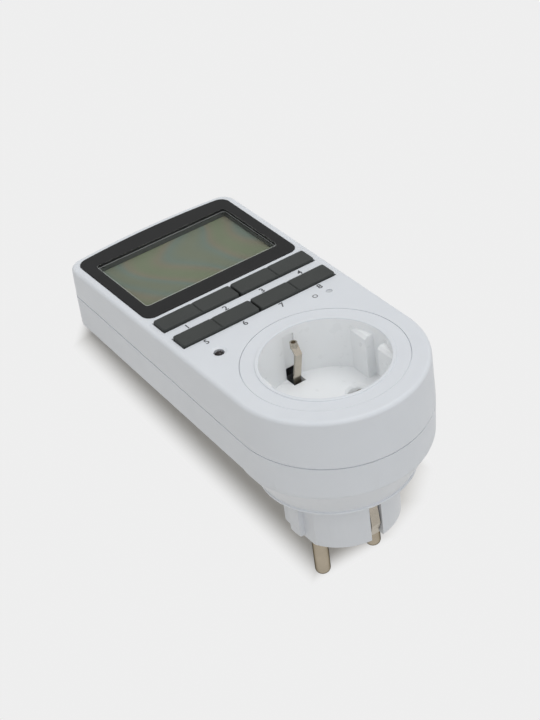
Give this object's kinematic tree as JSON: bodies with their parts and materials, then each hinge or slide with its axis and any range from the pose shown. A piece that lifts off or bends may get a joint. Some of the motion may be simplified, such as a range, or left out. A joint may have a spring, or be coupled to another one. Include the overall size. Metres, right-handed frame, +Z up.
{
  "type": "plug-in timer",
  "caption": "Plug-in timer for a wall socket: a socket well with safety shutter, a display, rocker keys and a reset button on a slim case with a round pin plug behind it.",
  "frame": {"origin": "middle of the bounding box at its lowest height: the table the timer lies on", "axes": "+Z up from the table, +Y towards the display end, +X to the right as the face is read; the timer lies tilted on its two pins and on the lower edge of its display end"},
  "size_m": [0.0604, 0.1264, 0.0802],
  "materials": {
    "white_shell": "satin",
    "white_socket": "satin",
    "bezel_grey": "satin",
    "clear_window": "clear",
    "lcd_green": "polished",
    "reflector_foil": "satin",
    "key_grey": "satin",
    "rubber_grey": "matte",
    "zebra_rubber": "matte",
    "lamp_red": "polished",
    "button_grey": "satin",
    "switch_black": "satin",
    "board_green": "satin",
    "screw_steel": "zinc plated",
    "chip_black": "matte",
    "can_steel": "drawn",
    "header_black": "satin",
    "shutter_grey": "satin",
    "spring_steel": "drawn",
    "nickel": "satin nickel",
    "white_plug": "satin",
    "clamp_white": "satin",
    "contact_brass": "stamped",
    "wire_brown": "satin",
    "wire_blue": "satin",
    "relay_blue": "satin",
    "film_yellow": "satin",
    "can_black": "satin",
    "battery_steel": "drawn",
    "fuse_glass": "clear",
    "varistor_blue": "glossy"
  },
  "bodies": {
    "case": {"front_cover": "white_shell", "rear_cover": "white_shell", "display_bezel": "bezel_grey", "display_window": "clear_window", "lcd_glass": "lcd_green", "lcd_reflector": "reflector_foil", "lcd_frame": "switch_black", "lcd_connector": "zebra_rubber", "keypad_mat": "rubber_grey", "indicator_led": "lamp_red", "reset_switch": "switch_black", "control_board": "board_green", "board_screws": "screw_steel", "control_chip": "chip_black", "clock_crystal": "can_steel", "board_link": "header_black", "socket_cup": "white_socket", "shutter_cover": "clamp_white", "shutter_spring": "spring_steel", "earth_clips": "nickel", "earth_link": "contact_brass", "plug_body": "white_plug", "plug_pin_left": "nickel", "plug_pin_right": "nickel", "pin_clamp": "clamp_white", "clamp_screw": "screw_steel", "plug_earth_strip": "nickel", "contact_carrier": "clamp_white", "live_contact": "contact_brass", "neutral_contact": "contact_brass", "live_wire": "wire_brown", "neutral_wire": "wire_blue", "power_board": "board_green", "power_board_screws": "screw_steel", "relay": "relay_blue", "film_capacitor": "film_yellow", "electrolytic_capacitor": "can_black", "backup_battery": "battery_steel", "fuse": "fuse_glass", "varistor": "varistor_blue", "case_screws": "screw_steel"},
    "key_lower_left": {"key_lower_left": "key_grey"},
    "key_lower_right": {"key_lower_right": "key_grey"},
    "key_upper_left": {"key_upper_left": "key_grey"},
    "key_upper_right": {"key_upper_right": "key_grey"},
    "reset_button": {"reset_button": "button_grey"},
    "shutter": {"shutter": "shutter_grey"}
  },
  "joints": [
    {"name": "key_lower_left_rock", "type": "hinge", "parent": "case", "child": "key_lower_left", "pos_m": [-0.01365, 0.00863, 0.04666], "axis": [0, 0.8702, -0.4927], "range_deg": [-2.2, 2.2], "stiffness_Nm_per_rad": 0.04, "deforming": ["keypad_mat"]},
    {"name": "key_lower_right_rock", "type": "hinge", "parent": "case", "child": "key_lower_right", "pos_m": [0.01365, 0.00863, 0.04666], "axis": [0, 0.8702, -0.4927], "range_deg": [-2.2, 2.2], "stiffness_Nm_per_rad": 0.04, "deforming": ["keypad_mat"]},
    {"name": "key_upper_left_rock", "type": "hinge", "parent": "case", "child": "key_upper_left", "pos_m": [-0.01365, 0.01794, 0.04139], "axis": [0, 0.8702, -0.4927], "range_deg": [-2.2, 2.2], "stiffness_Nm_per_rad": 0.04, "deforming": ["keypad_mat"]},
    {"name": "key_upper_right_rock", "type": "hinge", "parent": "case", "child": "key_upper_right", "pos_m": [0.01365, 0.01794, 0.04139], "axis": [0, 0.8702, -0.4927], "range_deg": [-2.2, 2.2], "stiffness_Nm_per_rad": 0.04, "deforming": ["keypad_mat"]},
    {"name": "reset_press", "type": "slide", "parent": "case", "child": "reset_button", "axis": [0, -0.4927, -0.8702], "range_m": [0, 0.0005], "stiffness_N_per_m": 300},
    {"name": "shutter_turn", "type": "hinge", "parent": "case", "child": "shutter", "pos_m": [0, -0.0305, 0.0487], "axis": [0, 0.4927, 0.8702], "range_deg": [0, 38], "stiffness_Nm_per_rad": 0.01, "deforming": ["shutter_spring"]}
  ]
}
